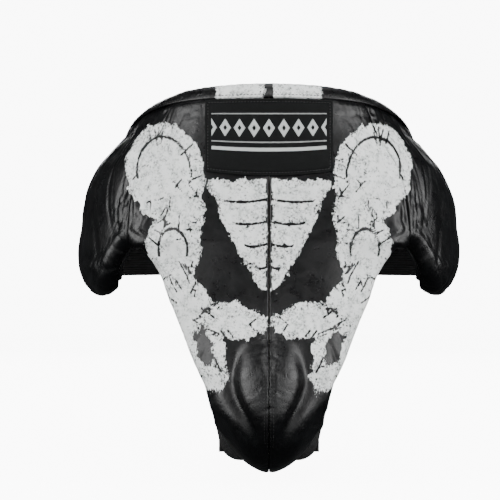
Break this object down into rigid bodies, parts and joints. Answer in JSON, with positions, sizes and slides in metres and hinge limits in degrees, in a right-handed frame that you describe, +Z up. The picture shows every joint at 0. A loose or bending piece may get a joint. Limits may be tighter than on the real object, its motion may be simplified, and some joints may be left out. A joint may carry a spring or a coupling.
{
  "type": "groin protector",
  "caption": "Leather-covered padded groin protector with a hard cup in its keel, curved hip wings, a rear elastic belt closed by hook-and-loop, and leg straps.",
  "frame": {"origin": "middle of the waist opening, level with the top of the rim at the front", "axes": "+Z up along the wearer, +Y to the back so the front faces -Y, +X to the side called right (the right hand of someone facing the front)"},
  "size_m": [0.3932, 0.2854, 0.3788],
  "materials": {
    "cowhide_leather": "semi-gloss black, painted motif on the front",
    "eva_foam": "matte closed-cell foam",
    "cup_plastic": "moulded",
    "cup_rubber": "matte",
    "nylon_lining": "woven, slightly shiny",
    "edge_binding": "rolled semi-matte black",
    "woven_label": "woven satin",
    "loop_tape": "fuzzy pile",
    "hook_tape": "small moulded hooks",
    "elastic_webbing": "ribbed knit elastic"
  },
  "bodies": {
    "root": {"front_leather_left": "cowhide_leather", "front_leather_right": "cowhide_leather", "wing_leather_left": "cowhide_leather", "wing_leather_right": "cowhide_leather", "belly_foam": "eva_foam", "wing_foam_left": "eva_foam", "wing_foam_right": "eva_foam", "cup_roll_foam": "eva_foam", "cup_cover_pad": "eva_foam", "cup_shell": "cup_plastic", "cup_rim": "cup_rubber", "cup_cushion": "eva_foam", "front_lining": "nylon_lining", "wing_lining_left": "nylon_lining", "wing_lining_right": "nylon_lining", "waist_binding": "edge_binding", "leg_binding_left": "edge_binding", "leg_binding_right": "edge_binding", "rear_binding_left": "edge_binding", "rear_binding_right": "edge_binding", "label_patch": "woven_label", "crotch_tab": "cowhide_leather", "tab_loop_left": "loop_tape", "tab_loop_right": "loop_tape"},
    "belt_left": {"belt_elastic_left": "elastic_webbing", "belt_hook_patch": "hook_tape", "belt_pull_tab": "cowhide_leather", "strap_anchor_left": "cowhide_leather"},
    "belt_right": {"belt_elastic_right": "elastic_webbing", "belt_loop_patch": "loop_tape", "strap_anchor_right": "cowhide_leather"},
    "leg_strap_left": {"leg_strap_left": "elastic_webbing", "strap_hook_left": "hook_tape"},
    "leg_strap_right": {"leg_strap_right": "elastic_webbing", "strap_hook_right": "hook_tape"}
  },
  "joints": [
    {"name": "belt_left_swing", "type": "hinge", "parent": "root", "child": "belt_left", "pos_m": [-0.15359, 0.07435, -0.12645], "axis": [0.1855, 0.0044, 0.9826], "range_deg": [0, 95]},
    {"name": "belt_right_swing", "type": "hinge", "parent": "root", "child": "belt_right", "pos_m": [0.15359, 0.07435, -0.12645], "axis": [-0.1855, 0.0044, 0.9826], "range_deg": [-66.5, 0]},
    {"name": "leg_strap_left_swing", "type": "hinge", "parent": "belt_left", "child": "leg_strap_left", "pos_m": [-0.07209, 0.12652, -0.18492], "axis": [0.9667, 0.2558, 0.0046], "range_deg": [0, 45]},
    {"name": "leg_strap_right_swing", "type": "hinge", "parent": "belt_right", "child": "leg_strap_right", "pos_m": [0.07209, 0.12652, -0.18492], "axis": [0.9667, -0.2558, -0.0046], "range_deg": [0, 45]}
  ],
  "couplings": [
    {"joint": "belt_right_swing", "follows": "belt_left_swing", "ratio": -0.7}
  ]
}
